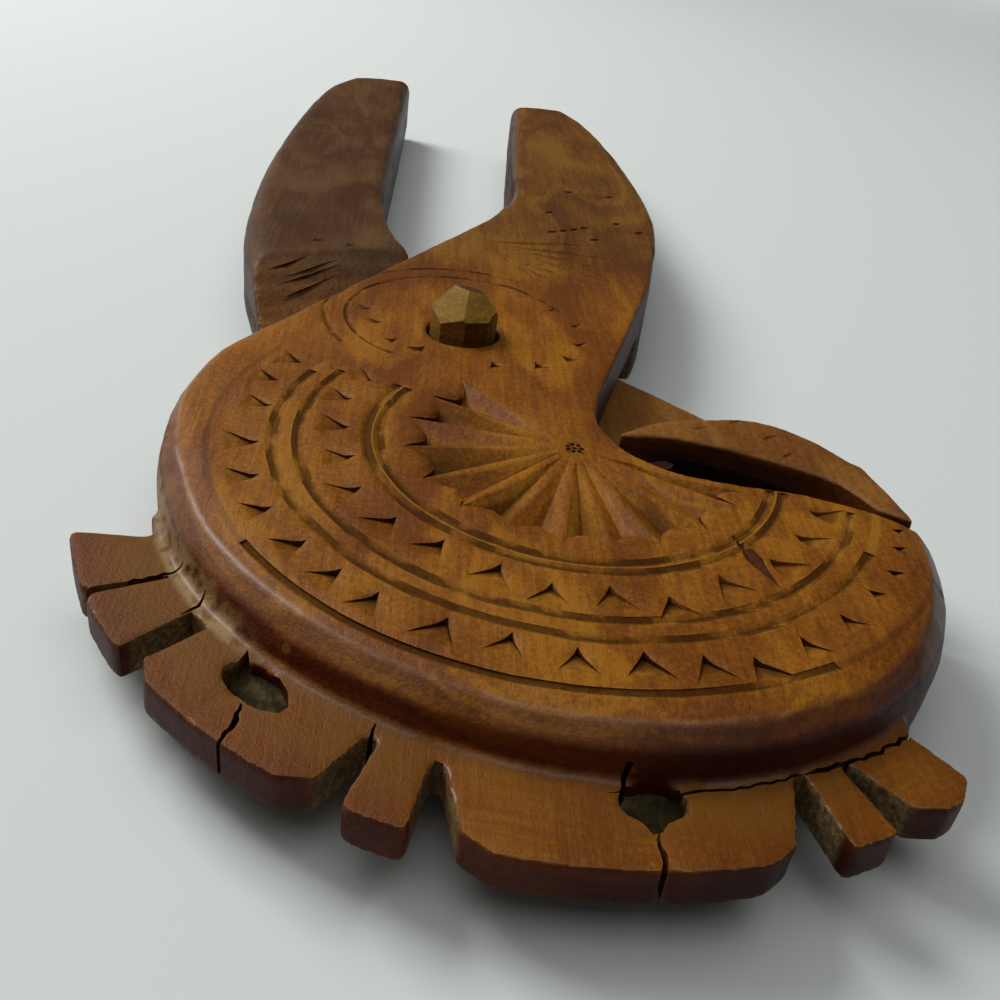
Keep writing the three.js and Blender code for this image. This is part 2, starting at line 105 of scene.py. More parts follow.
# Chips: the angle of each point about the sun and its distance
INNER_CHIPS = ((152, 27.3), (164, 27.3), (178.5, 26), (193, 25.6), (207, 26.7), (221, 26.4), (234, 25.6),
               (248.5, 25.9), (260, 26.9), (272, 26.4), (283.5, 28.1), (298, 26.2), (313, 26.9), (327, 26.7),
               (339.5, 27.2))
OUTER_CHIPS = ((154.5, 36.8), (163.5, 37), (173, 35.5), (187, 35.8), (198, 36.3), (208, 36.7), (218.5, 36.3),
               (227.5, 36.5), (235, 36.6), (246, 36), (255.5, 35.5), (265, 36), (274.5, 35.9), (283, 36.7),
               (290, 37.8), (299.5, 37), (309.5, 36.6))
SMALL_CHIPS = ((319, 36.5), (327, 36.8), (334.5, 36.5), (340.5, 36.3))
INNER_CHIP_SIZE = (3.5, 4.2)
OUTER_CHIP_SIZE = (3.3, 3.7)
SMALL_CHIP_SIZE = (1.8, 2.0)
CHIP_DEPTH = 0.8
CHIP_FOOT = 0.1
CHIP_TURN = 5
CHIP_SPREAD = ((0.9, 1.08), (0.88, 1.1), (0.85, 1.05))

# Ring lines about the sun: radius, first and last angle. Tinted ridges and valleys: radius, half width
RING_LINES = ((22.7, 150, 345), (24.2, 150, 345), (31.8, 152, 343), (34.6, 156, 330), (41.6, 214, 300))
RING_WIDTH = 1.35
RING_FLATNESS = 0.42
RING_STEP = 2.5
RING_RIDGES = ((23.45, 0.6), (31.8, 0.75), (34.6, 0.75))
RING_VALLEYS = ((22.7, 0.55), (24.2, 0.55), (41.6, 0.5))
OCHRE_RINGS = (30, 36)
RING_WINDOW = (-0.52, 2.88)
RAW_STRIP = (46.5, 1.4)
RAW_WINDOW = (-0.05, 0.78)

# Carving round the peg
PEG_RING_CENTRE = (-0.4, 3.9)
PEG_RINGS = ((16, 20, 235), (19.2, 60, 215))
PEG_CHIPS = ((-12.9, 5.0), (-11.1, 0.8), (-8.8, -4.4), (-5.1, -6.1), (3.8, -8.9), (9.6, -7.9),
             (13.5, -4.9), (15.3, -0.6), (15.5, 5.4), (12.7, 10.2))
PEG_CHIP_CENTRE = (1.95, 3.92)
PEG_CHIP_SIZE = (2.2, 2.4)
PEG_CHIP_DEPTH = 0.75
PEG_CHIP_TURN = 12
PEG_CHIP_SPREAD = (0.8, 1.1)
PEG_RING_WIDTH = 0.8

# Cuts on the handles: straight knife grooves from one point to another, and single pricks
HEAD_FAN = (((4.6, 37.7), (23.5, 41.6)), ((6.4, 36.8), (26.6, 35.4)), ((7.0, 36.1), (26.4, 29.4)),
            ((7.3, 35.4), (25.4, 23.3)), ((7.4, 34.4), (21.9, 18.9)), ((7.3, 33.2), (17.6, 18.4)),
            ((7.0, 31.8), (13.9, 20.0)))
HEAD_PRICKS = ((15.3, 45.7), (17.4, 47.1), (19.4, 48.4), (21.4, 49.7), (22.6, 43.8), (31.5, 50.2),
               (27.8, 53.9), (15.6, 56.8), (20.6, 70.8), (28.4, 70.3))
JAW_FAN = (((-29.2, 20.1), (-23.8, 24.4)), ((-26.6, 19.8), (-19.2, 25.6)), ((-27.0, 18.6), (-19.0, 24.7)),
           ((-26.3, 16.6), (-20.8, 21.5)), ((-26.5, 15.9), (-19.1, 23.1)))
JAW_PRICKS = ((-23.9, 29.7), (-18.6, 28.9))
HEAD_FAN_SIZE = (1.6, 0.72)
JAW_FAN_SIZE = (1.5, 0.42)
PRICK_SIZE = (2.2, 1.2)
PRICK_LEAN = (0.8, 0.6)
PRICK_DEPTH = 0.55
HOOD_NICKS = (((28.2, -23.2), (30.4, -22.2)), ((33.4, -20.6), (35.2, -19.6)), ((36.8, -24.4), (39.4, -22.6)),
              ((38.2, -28.6), (40.2, -27.0)))
NICK_SIZE = (0.8, 0.35)
GOUGE = ((28.4, -46.8), (31.0, -55.0))
GOUGE_SIZE = (1.5, 0.45)

# Comb: its circle, where shares of its sweep lie, and the saw cuts between teeth at root and at tip
COMB_CENTRE = (12.8, -30.9)
COMB_ROOT = 47.4
COMB_TIP = 55.5
COMB_START = -165
COMB_SWEEP = 113
COMB_THICKNESS = 4.4
SAW_CUTS = (
    ((0.1175, 0.1225), (0.1085, 0.1195)),
    ((0.1840, 0.2165), (0.1970, 0.2210)),
    ((0.4340, 0.4410), (0.4195, 0.4495)),
    ((0.4975, 0.5055), (0.5005, 0.5395)),
    ((0.8365, 0.8455), (0.7955, 0.8395)),
    ((0.8885, 0.8965), (0.8845, 0.9155)),
)
SAW_BEYOND = 0.6
EYES = (
    ((-19.6, -63.8), (-20.5, -65.8), (-20.7, -67.5), (-20.0, -69.3), (-18.6, -70.7), (-17.4, -71.3),
     (-15.8, -71.5), (-15.1, -70.6), (-15.4, -68.7), (-16.3, -67.1), (-18.2, -65.7), (-19.2, -65.2)),
    ((13.0, -77.7), (14.9, -77.5), (18.0, -77.7), (18.5, -78.8), (17.8, -80.3), (16.5, -81.2),
     (15.8, -82.2), (15.0, -82.5), (14.4, -81.5), (13.3, -80.3), (12.6, -78.9)),
)
EYE_OVERLAP = 1.12
EYE_FLOOR = 5.5
EYE_SLOPE_TOP = 8.6
EYE_SLOPE_FOOT = 5.9
KERFS = (((-19.0, -70.6), (-19.5, -73.0), (-20.1, -75.4), (-20.6, -77.2)),
         ((15.4, -82.2), (15.5, -84.4), (15.2, -87.4)))
KERF_WIDTH = 0.5

# Drying cracks: the way each runs, its width, and the heights between which it is open
CRACKS = (
    (((44.3, -66.6), (42.5, -68.3), (40.0, -70.1), (37.4, -71.7), (34.9, -73.0), (32.2, -74.2),
      (29.4, -75.2)), 0.42, 10.4, 7.5),
    (((29.4, -75.2), (25.5, -76.6), (21.1, -77.5), (16.6, -78.1), (11.8, -78.3)), 0.24, 10.4, 8.6),
    (((13.8, -75.2), (13.3, -77.2), (13.0, -79.0)), 0.5, 11.5, 6.5),
    (((33.7, -73.7), (34.7, -75.9), (35.9, -77.6)), 0.5, 12, 6.5),
    (((-27.4, -52.3), (-30.5, -54.0), (-32.6, -54.9)), 0.4, 10.6, 6.5),
    (((-7.4, -72.2), (-8.0, -73.9), (-8.7, -75.8)), 0.4, 12, 6.5),
    (((-24.4, -56.4), (-25.2, -57.8), (-26.4, -59.2)), 0.5, 10.6, 6.5),
)
CRACK_STEP = 0.7
CRACK_WANDER = 0.2
CRACK_SPREAD = (0.7, 1.2)
CRACK_END = 0.3
CRACK_END_STEPS = 3

# Peg: how far each whittled plane lies from the peg's middle at the given height, the way it faces, and the
# copy of the wood, with painted light and shade, that the faces looking its way get
PEG_PLANES = (
    ((-0.5, -0.46, 0.73), 19.0, 2.5, "lit facet"),
    ((0.3, -0.6, 0.74), 18.9, 3.1, "lit facet"),
    ((0.16, 0.2, 0.97), 20.7, 0.9, "top"),
    ((-0.6, 0.55, 0.58), 19.3, 3.2, "top"),
    ((0.75, 0.3, 0.58), 19.2, 3.2, "top"),
    ((-0.62, -0.78, 0), 18, 4.48, "wall"),
    ((0.72, -0.69, 0), 18, 4.46, "shade"),
    ((1, 0.15, 0), 18, 4.5, "shade"),
    ((-1, 0.12, 0), 18, 4.5, "wall"),
)
PEG_BEVEL = 0.2

# Grain: for each output the noise's stretch along the axes, its detail, roughness and distortion, and the
# values that become 0 and 1
GRAIN = (
    ("Fibres", (1.7, 0.09, 1.7), 4, 0.6, 0.2, 0.35, 0.65),
    ("Pores", (3.6, 0.42, 3.6), 2, 0.55, 0, 0.62, 0.74),
    ("Tone", (0.07, 0.04, 0.07), 3, 0.55, 0, 0.33, 0.67),
    ("Grit", (3.2, 3.2, 3.2), 3, 0.7, 0, 0.3, 0.7),
    ("Speckle", (1.6, 1.6, 1.6), 4, 0.7, 0, 0.35, 0.68),
)
LAYER_SWELL = 9
GRAIN_SHARES = (("Tone", 0.36), ("Layers", 0.24), ("Fibres", 0.16), ("Speckle", 0.24))
TONE_STOPS = (0.24, 0.5, 0.74)
PORE_DIRT = 0.3
RUBBED_SHARE = 0.4
DIRT_AND_SHADE_SHARE = 0.7
WORN_ROUGHER = 0.18
RELIEF_STRENGTH = 0.45
RELIEF_DEPTH = 0.12

# Marks on the head: pairs give the values between which each one fades in, by the face's upward share, the
# distance from the sun, the height or the way along X
ROLL_TILT = (0.96, 0.86)
ROLL_FOOT = (0.35, 0.7)
ROLL_AWAY = (38, 42)
COAT_ROUGHNESS = 0.36
RIDGE_SHARE = 0.5
VALLEY_SHARE = 0.35
COMB_HEIGHT = (FACE - 4.4, FACE - 5)
COMB_TILT = (0.6, 0.95)
COMB_ROOT_AWAY = (55, 50)
STREAK_SHARE = 0.6
WALL_HEIGHT = (10.2, 9.4)
WALL_INNER = (47.2, 48.2)
WALL_OUTER = (54.6, 53.4)
# Painted shade on the sideways faces towards the right: their tilt, and the way along X
RIGHT_SHADE_TILT = (0.97, 0.6)
RIGHT_SHADE_ACROSS = (-5, 28)
RAW_HEIGHT = (FACE - 2.2, FACE - 3.6)
RAW_SHARE = 0.8
# Painted shade, deeper low down on the sideways faces: the heights between which it fades in
LOW_SHADE_HEIGHT = (0.8 * FACE, 0.4 * FACE)
# Painted shade with grime on what lies below the carved face, between these heights
HOLLOW_HEIGHT = (TOP - 0.2, TOP - 1.7)
# Painted shade in the mouth's corner, between these heights
CORNER_HEIGHT = (FACE - 1, FACE - 3)
LOW_SHADE_TONE = (0.6, 0.45, 0.3)
RAW_TONE = (0.28, 0.18, 0.075)
OCHRE_TONE = (0.14, 0.057, 0.003)
COMB_TONE = (0.72, 0.66, 0.5)
RIGHT_SHADE_TONE = (0.45, 0.28, 0.15)
WALL_TONE = (0.17, 0.12, 0.055)
# Painted shade in the mouth's corner: its place in plan, and its radius
MOUTH_CORNER = (26.0, -21.5, 7)


def clear_selection():
    bpy.ops.object.select_all(action="DESELECT")


def make_active(piece):
    clear_selection()
    piece.select_set(True)
    bpy.context.view_layer.objects.active = piece


def apply_place(piece):
    make_active(piece)
    bpy.ops.object.transform_apply(location=True, rotation=True, scale=True)


def add_modifier(piece, name, kind, **settings):
    modifier = piece.modifiers.new(name, kind)
    for key, value in settings.items():
        setattr(modifier, key, value)
    return modifier


def apply_modifiers(piece):
    make_active(piece)
    for modifier in list(piece.modifiers):
        bpy.ops.object.modifier_apply(modifier=modifier.name)


def copy_mesh(piece, name):
    made = bpy.data.objects.new(name, piece.data.copy())
    bpy.context.scene.collection.objects.link(made)
    return made


def join(pieces, name):
    clear_selection()
    for piece in pieces:
        piece.select_set(True)
    bpy.context.view_layer.objects.active = pieces[0]
    bpy.ops.object.join()
    pieces[0].name = name
    return pieces[0]


def place(piece, x, y, z, turn=0.0, sizes=(1, 1, 1)):
    """Moves, turns and scales the mesh itself, so the object stays at the origin."""
    matrix = Matrix.Translation(Vector((x, y, z)) * MM) @ Matrix.Rotation(math.radians(turn), 4, "Z")
    piece.data.transform(matrix @ Matrix.Diagonal((*sizes, 1)))
    return piece


def polar(centre, radius, degrees):
    turn = math.radians(degrees)
    return centre[0] + radius * math.cos(turn), centre[1] + radius * math.sin(turn)


# Shader helpers
def new_node(tree, kind, links=None, **settings):
    made = tree.nodes.new(kind)
    for key, value in settings.items():
        setattr(made, key, value)
    for socket, value in (links or {}).items():
        if isinstance(value, bpy.types.NodeSocket):
            tree.links.new(value, made.inputs[socket])
        else:
            made.inputs[socket].default_value = value
    return made


def math_node(tree, operation, first, second=0.0):
    return new_node(tree, "ShaderNodeMath", {0: first, 1: second}, operation=operation).outputs[0]


def times(tree, first, second):
    return math_node(tree, "MULTIPLY", first, second)


def fade(tree, value, low, high, from_value=0.0, to_value=1.0):
    """Takes a value from low to high and gives it back as from_value to to_value, smoothly and clamped."""
    links = {"Value": value, "From Min": low, "From Max": high, "To Min": from_value, "To Max": to_value}
    return new_node(tree, "ShaderNodeMapRange", links, interpolation_type="SMOOTHSTEP").outputs["Result"]


def fade_length(tree, value, lengths):
    """Fades in between two lengths in millimetres of a value in metres."""
    return fade(tree, value, lengths[0] * MM, lengths[1] * MM)


def in_millimetres(tree, vector):
    return new_node(tree, "ShaderNodeVectorMath", {0: vector, 3: 1 / MM}, operation="SCALE").outputs[0]


def mix_colours(tree, amount, first, second, blend="MIX"):
    made = new_node(tree, "ShaderNodeMix", data_type="RGBA", blend_type=blend, clamp_factor=True)
    for socket, value in ((made.inputs[0], amount), (made.inputs[6], first), (made.inputs[7], second)):
        if isinstance(value, bpy.types.NodeSocket):
            tree.links.new(value, socket)
        else:
            socket.default_value = (*value, 1) if isinstance(value, tuple) else value
    return made.outputs[2]


def new_group(name, inputs, outputs):
    tree = bpy.data.node_groups.new(name, "ShaderNodeTree")
    for label, kind, value in inputs:
        socket = tree.interface.new_socket(name=label, in_out="INPUT", socket_type=kind)
        if value is not None:
            socket.default_value = value
    for label, kind in outputs:
        tree.interface.new_socket(name=label, in_out="OUTPUT", socket_type=kind)
    return tree, tree.nodes.new("NodeGroupInput").outputs, tree.nodes.new("NodeGroupOutput").inputs


def use_group(tree, group, **values):
    links = {key.replace("_", " "): value for key, value in values.items()}
    return new_node(tree, "ShaderNodeGroup", links, node_tree=group).outputs


def noise(tree, where, stretch, scale=1.0, detail=3.0, rough=0.55, distort=0.0):
    """Noise on the piece's own coordinates in millimetres, stretched by the three factors."""
    placed = new_node(tree, "ShaderNodeMapping", {"Vector": where, "Scale": stretch}).outputs[0]
    links = {"Vector": placed, "Scale": scale, "Detail": detail, "Roughness": rough, "Distortion": distort}
    return new_node(tree, "ShaderNodeTexNoise", links).outputs["Fac"]


def board_grain_group():
    """Growth layers that lie flat in the board, fibres and pores along it, and broad changes of tone."""
    tree, given, result = new_group(
        "board grain",
        [("Vector", "NodeSocketVector", None), ("Layer Count", "NodeSocketFloat", 0.9)],
        [("Layers", "NodeSocketFloat"), ("Fibres", "NodeSocketFloat"), ("Pores", "NodeSocketFloat"),
         ("Tone", "NodeSocketFloat"), ("Speckle", "NodeSocketFloat"), ("Grit", "NodeSocketFloat")])
    where = in_millimetres(tree, given["Vector"])
    height = new_node(tree, "ShaderNodeSeparateXYZ", {0: where}).outputs["Z"]
    swell = times(tree, noise(tree, where, (0.035, 0.014, 0.05), detail=1.5), LAYER_SWELL)
    ripple = noise(tree, where, (0.2, 0.03, 0.3), detail=2)
    level = math_node(tree, "ADD", math_node(tree, "ADD", height, swell), ripple)
    counted = times(tree, level, given["Layer Count"])
    layers = new_node(tree, "ShaderNodeTexNoise", {"W": counted, "Scale": 1.0, "Detail": 2.5},
                      noise_dimensions="1D").outputs["Fac"]
    tree.links.new(fade(tree, layers, 0.32, 0.68), result["Layers"])
    for label, stretch, detail, rough, distort, low, high in GRAIN:
        pattern = noise(tree, where, stretch, detail=detail, rough=rough, distort=distort)
        tree.links.new(fade(tree, pattern, low, high), result[label])
    return tree


def sun_marks_group():
    """The darkening along the ring lines, the rubbed ridges between them, and the raw strip at the comb's
    root.
    """
    tree, given, result = new_group(
        "sun marks", [("Vector", "NodeSocketVector", None)],
        [("Valleys", "NodeSocketFloat"), ("Ridges", "NodeSocketFloat"), ("Raw", "NodeSocketFloat"),
         ("Away", "NodeSocketFloat"), ("Streaks", "NodeSocketFloat")])
    where = in_millimetres(tree, given["Vector"])
    wander = noise(tree, where, (0.5, 0.5, 0.5), detail=3)
    parts = new_node(tree, "ShaderNodeSeparateXYZ", {0: where}).outputs
    away_x = math_node(tree, "SUBTRACT", SUN[0], parts["X"])
    away_y = math_node(tree, "SUBTRACT", SUN[1], parts["Y"])
    squares = math_node(tree, "ADD", math_node(tree, "POWER", away_x, 2), math_node(tree, "POWER", away_y, 2))
    wide = math_node(tree, "ADD", math_node(tree, "SQRT", squares), times(tree, wander, 0.5))
    wide = math_node(tree, "SUBTRACT", wide, 0.25)
    turn = math_node(tree, "ARCTAN2", away_y, away_x)
    tree.links.new(wide, result["Away"])
    along = new_node(tree, "ShaderNodeCombineXYZ", {"X": wide, "Y": times(tree, turn, 4)})
    streaks = noise(tree, along.outputs[0], (1.5, 1, 1), detail=4, rough=0.65)
    tree.links.new(fade(tree, streaks, 0.35, 0.65), result["Streaks"])

    def window(first, last):
        entering = fade(tree, turn, first - 0.05, first + 0.05)
        return times(tree, entering, fade(tree, turn, last + 0.05, last - 0.05))

    def band(middle, half):
        off = math_node(tree, "ABSOLUTE", math_node(tree, "SUBTRACT", wide, middle))
        return fade(tree, off, half, 0.4 * half)

    def bands(rows):
        total = band(*rows[0])
        for row in rows[1:]:
            total = math_node(tree, "ADD", total, band(*row))
        return total

    shown = window(*RING_WINDOW)
    tree.links.new(times(tree, bands(RING_VALLEYS), shown), result["Valleys"])
    tree.links.new(times(tree, bands(RING_RIDGES), shown), result["Ridges"])
    ragged = times(tree, band(*RAW_STRIP), window(*RAW_WINDOW))
    ragged = times(tree, ragged, fade(tree, parts["Z"], *RAW_HEIGHT))
    tree.links.new(times(tree, ragged, fade(tree, wander, 0.35, 0.58)), result["Raw"])
    return tree


def wear_group():
    """Rubbed edges, dirt with painted shade in the creases, and varnish that is gone in patches."""
    tree, given, result = new_group(
        "handling wear",
        [("Vector", "NodeSocketVector", None), ("Edge Width", "NodeSocketFloat", 0.06)],
        [("Rubbed", "NodeSocketFloat"), ("Dirt And Shade", "NodeSocketFloat"), ("Patches", "NodeSocketFloat")])
    where = in_millimetres(tree, given["Vector"])
    bend = new_node(tree, "ShaderNodeNewGeometry").outputs["Pointiness"]
    uneven = noise(tree, where, (0.35, 0.35, 0.35), detail=4)
    edge = fade(tree, bend, 0.52, math_node(tree, "ADD", given["Edge Width"], 0.52))
    tree.links.new(times(tree, edge, fade(tree, uneven, 0.3, 0.6)), result["Rubbed"])
    tree.links.new(fade(tree, bend, 0.485, 0.43), result["Dirt And Shade"])
    patches = noise(tree, where, (0.12, 0.09, 0.12), detail=5, rough=0.65)
    tree.links.new(fade(tree, patches, 0.52, 0.7), result["Patches"])
    return tree


board_grain = board_grain_group()
sun_marks = sun_marks_group()
handling_wear = wear_group()


def three_tones(tree, grain, dark, middle, light):
    """The wood's own colour, from dark through middle to light by the sum of its grain."""
    tone = times(tree, grain[GRAIN_SHARES[0][0]], GRAIN_SHARES[0][1])
    for label, amount in GRAIN_SHARES[1:]:
        tone = math_node(tree, "ADD", tone, times(tree, grain[label], amount))
    ramp = new_node(tree, "ShaderNodeValToRGB", {"Fac": tone})
    stops = ramp.color_ramp.elements
    stops[0].position, stops[1].position = TONE_STOPS[0], TONE_STOPS[2]
    stops[0].color, stops[1].color = (*dark, 1), (*light, 1)
    stops.new(TONE_STOPS[1]).color = (*middle, 1)
    return ramp.outputs["Color"]


def roll_polish(tree, shader, upright, away, patches):
    """Puts the hand's polish on the rolled edge, thinner where the varnish is gone."""
    sheen = times(tree, fade(tree, upright, *ROLL_TILT), fade(tree, upright, *ROLL_FOOT))
    sheen = times(tree, sheen, fade(tree, patches, 0.8, 0, 0.1, 0.6))
    sheen = times(tree, sheen, fade(tree, away, *ROLL_AWAY))
    tree.links.new(sheen, shader.inputs["Coat Weight"])
    shader.inputs["Coat Roughness"].default_value = COAT_ROUGHNESS


def head_marks(tree, colour, carved, parts, upright, sideways, grain, dark, rubbed, dirt_and_shade):
    """Tints the ring lines, the comb, its saw-cut walls and the raw strip, and paints shade on the right
    side.
    """
    away = carved["Away"]
    colour = mix_colours(tree, times(tree, carved["Ridges"], RIDGE_SHARE), colour, rubbed)
    colour = mix_colours(tree, times(tree, carved["Valleys"], VALLEY_SHARE), colour, dirt_and_shade)
    comb = times(tree, fade_length(tree, parts["Z"], COMB_HEIGHT), fade(tree, upright, *COMB_TILT))
    near_root = times(tree, comb, fade(tree, away, *COMB_ROOT_AWAY))
    colour = mix_colours(tree, comb, colour, COMB_TONE, "MULTIPLY")
    ochre = times(tree, near_root, fade(tree, grain["Tone"], 0.85, 0.25, 0.3, 0.9))
    colour = mix_colours(tree, ochre, colour, OCHRE_TONE)
    streaked = times(tree, comb, times(tree, carved["Streaks"], STREAK_SHARE))
    colour = mix_colours(tree, streaked, colour, dark)
    walls = times(tree, sideways, fade_length(tree, parts["Z"], WALL_HEIGHT))
    walls = times(tree, walls, fade(tree, away, *WALL_INNER))
    walls = times(tree, walls, fade(tree, away, *WALL_OUTER))
    # Painted shade on the sideways faces towards the right
    right_shade = times(tree, fade(tree, upright, *RIGHT_SHADE_TILT), fade_length(tree, parts["X"], RIGHT_SHADE_ACROSS))
    colour = mix_colours(tree, right_shade, colour, RIGHT_SHADE_TONE, "MULTIPLY")
    colour = mix_colours(tree, times(tree, carved["Raw"], RAW_SHARE), colour, RAW_TONE)
    walls = times(tree, walls, fade(tree, grain["Speckle"], 0, 1, 0.3, 0.9))
    return mix_colours(tree, walls, colour, WALL_TONE)


def corner_shade(tree, where, parts, corner):
    """A mask of the low wood about an upright line, given as its place in plan and the shade's radius."""
    x, y, radius = corner
    spot = new_node(tree, "ShaderNodeCombineXYZ", {0: x * MM, 1: y * MM, 2: parts["Z"]})
    near = new_node(tree, "ShaderNodeVectorMath", {0: where, 1: spot.outputs[0]}, operation="DISTANCE")
    shade = fade_length(tree, near.outputs["Value"], (radius, 0.6 * radius))
    return times(tree, shade, fade_length(tree, parts["Z"], CORNER_HEIGHT))


def wood_material(name, dark, middle, light, rubbed, dirt_and_shade, roughness, gloss=0.12, side=None, far=None,
                  marks=False, hollow=None, corner=None):
    """Wood in three tones with its grain, rubbed edges, and hollows darkened by dirt and painted shade.

    The side tint is painted shade on the faces that look sideways, deeper low down, and the far tint darkens
    the grips from the first place to the second along the board. Hollow is painted shade with grime on what
    lies below the carved face, and corner is painted shade on what lies low near an upright line.
    """
    material = bpy.data.materials.new(name)
    material.use_nodes = True
    tree = material.node_tree
    shader = tree.nodes["Principled BSDF"]
    where = new_node(tree, "ShaderNodeTexCoord").outputs["Object"]
    parts = new_node(tree, "ShaderNodeSeparateXYZ", {0: where}).outputs
    grain = use_group(tree, board_grain, Vector=where)
    wear = use_group(tree, handling_wear, Vector=where)
    colour = three_tones(tree, grain, dark, middle, light)
    colour = mix_colours(tree, times(tree, grain["Pores"], PORE_DIRT), colour, dirt_and_shade)
    if far:
        tint, *along = far
        colour = mix_colours(tree, fade_length(tree, parts["Y"], along), colour, tint, "MULTIPLY")
    facing = new_node(tree, "ShaderNodeNewGeometry").outputs["Normal"]
    upright = new_node(tree, "ShaderNodeSeparateXYZ", {0: facing}).outputs["Z"]
    # Painted shade on the faces that look sideways, deeper low down
    if side:
        tint, *tilts = side
        sideways = fade(tree, upright, *tilts)
        colour = mix_colours(tree, sideways, colour, tint, "MULTIPLY")
        low = times(tree, sideways, fade_length(tree, parts["Z"], LOW_SHADE_HEIGHT))
        colour = mix_colours(tree, low, colour, LOW_SHADE_TONE, "MULTIPLY")
    if marks:
        carved = use_group(tree, sun_marks, Vector=where)
        roll_polish(tree, shader, upright, carved["Away"], wear["Patches"])
        colour = head_marks(tree, colour, carved, parts, upright, sideways, grain, dark, rubbed, dirt_and_shade)
    colour = mix_colours(tree, times(tree, wear["Rubbed"], RUBBED_SHARE), colour, rubbed)
    # Painted shade with grime below the carved face
    if hollow:
        patchy = fade(tree, grain["Tone"], 0.1, 0.9, hollow, 0.5 * hollow)
        sunk = times(tree, fade_length(tree, parts["Z"], HOLLOW_HEIGHT), patchy)
        colour = mix_colours(tree, sunk, colour, dirt_and_shade)
    # Painted shade low near the mouth's corner
    if corner:
        colour = mix_colours(tree, corner_shade(tree, where, parts, corner), colour, dirt_and_shade)
    # Dirt with painted shade in the creases
    colour = mix_colours(tree, times(tree, wear["Dirt And Shade"], DIRT_AND_SHADE_SHARE), colour, dirt_and_shade)
    tree.links.new(colour, shader.inputs["Base Color"])
    worn = math_node(tree, "ADD", wear["Patches"], wear["Dirt And Shade"])
    tree.links.new(fade(tree, worn, 0, 1, roughness, roughness + WORN_ROUGHER), shader.inputs["Roughness"])
    shader.inputs["Specular IOR Level"].default_value = gloss
    relief = math_node(tree, "ADD", times(tree, grain["Fibres"], 0.4), times(tree, grain["Grit"], 0.7))
    relief = math_node(tree, "SUBTRACT", relief, times(tree, grain["Pores"], 0.7))
    bump = new_node(tree, "ShaderNodeBump", {"Height": relief, "Strength": RELIEF_STRENGTH,
                                             "Distance": RELIEF_DEPTH * MM})
    tree.links.new(bump.outputs["Normal"], shader.inputs["Normal"])
    return material


# Finishes: dark, middle and light tone, rubbed tone, tone of dirt and painted shade, and roughness
varnished = wood_material(
    "orange varnished wood", (0.135, 0.038, 0.003), (0.21, 0.069, 0.0045), (0.29, 0.112, 0.006),
    (0.32, 0.145, 0.014), (0.035, 0.01, 0.002), 0.45,
    side=((0.42, 0.22, 0.12), 0.86, 0.35), far=((0.66, 0.76, 1.7), 4, 45), marks=True)
dark_varnished = wood_material(
    "red-brown varnished wood", (0.13, 0.042, 0.007), (0.19, 0.072, 0.012), (0.25, 0.105, 0.02),
    (0.29, 0.14, 0.045), (0.03, 0.009, 0.002), 0.4,
    side=((0.45, 0.3, 0.25), 0.7, 0.2), far=((0.46, 0.53, 1), 10, 30), corner=MOUTH_CORNER)
chip_floor = wood_material(
    "ochre chip floor", (0.19, 0.08, 0.008), (0.27, 0.125, 0.016), (0.36, 0.18, 0.028),
    (0.36, 0.18, 0.04), (0.09, 0.03, 0.004), 0.6, gloss=0.08)
# Dark cut walls, grime with painted shade: for chip walls, groove ends, pits, pricks and cracks
cut_wall_grime_and_shade = wood_material(
    "dark knife wall with grime and painted shade", (0.03, 0.009, 0.003), (0.05, 0.015, 0.004), (0.075, 0.025, 0.007),
    (0.1, 0.04, 0.012), (0.015, 0.004, 0.002), 0.65, gloss=0.05)
groove_wood = wood_material(
    "carved groove", (0.12, 0.038, 0.004), (0.185, 0.067, 0.006), (0.26, 0.11, 0.012),
    (0.3, 0.14, 0.025), (0.04, 0.014, 0.003), 0.65, gloss=0.05, hollow=0.85)
ochre_ring = wood_material(
    "ochre ring line", (0.16, 0.06, 0.006), (0.23, 0.095, 0.01), (0.31, 0.15, 0.02),
    (0.33, 0.16, 0.03), (0.06, 0.02, 0.003), 0.6, gloss=0.06)
raw_wood = wood_material(
    "raw sawn wood", (0.1, 0.07, 0.035), (0.19, 0.145, 0.08), (0.3, 0.24, 0.15),
    (0.33, 0.26, 0.16), (0.04, 0.025, 0.01), 0.8, gloss=0.05)
# Inside the eyes: raw wood darkened by painted shade
shaded_hole_wood = wood_material(
    "raw hole wall in painted shade", (0.025, 0.018, 0.007), (0.055, 0.042, 0.019), (0.1, 0.078, 0.037),
    (0.11, 0.085, 0.04), (0.015, 0.01, 0.004), 0.85, gloss=0.03)
# The peg's wood in four copies with painted light and shade: lightest on the front facets, darkest on the top
# and right
peg_light_and_shade_tones = {
    "wall": ((0.09, 0.035, 0.005), (0.15, 0.06, 0.009), (0.22, 0.1, 0.018)),
    "lit facet": ((0.22, 0.11, 0.014), (0.3, 0.16, 0.022), (0.4, 0.24, 0.045)),
    "top": ((0.04, 0.02, 0.007), (0.065, 0.034, 0.011), (0.11, 0.062, 0.02)),
    "shade": ((0.06, 0.018, 0.002), (0.1, 0.033, 0.003), (0.15, 0.055, 0.006)),
}
peg_light_and_shade_woods = {
    name: wood_material("peg " + name, *tones, (0.36, 0.22, 0.06), (0.03, 0.01, 0.002), 0.5, gloss=0.08)
    for name, tones in peg_light_and_shade_tones.items()
}


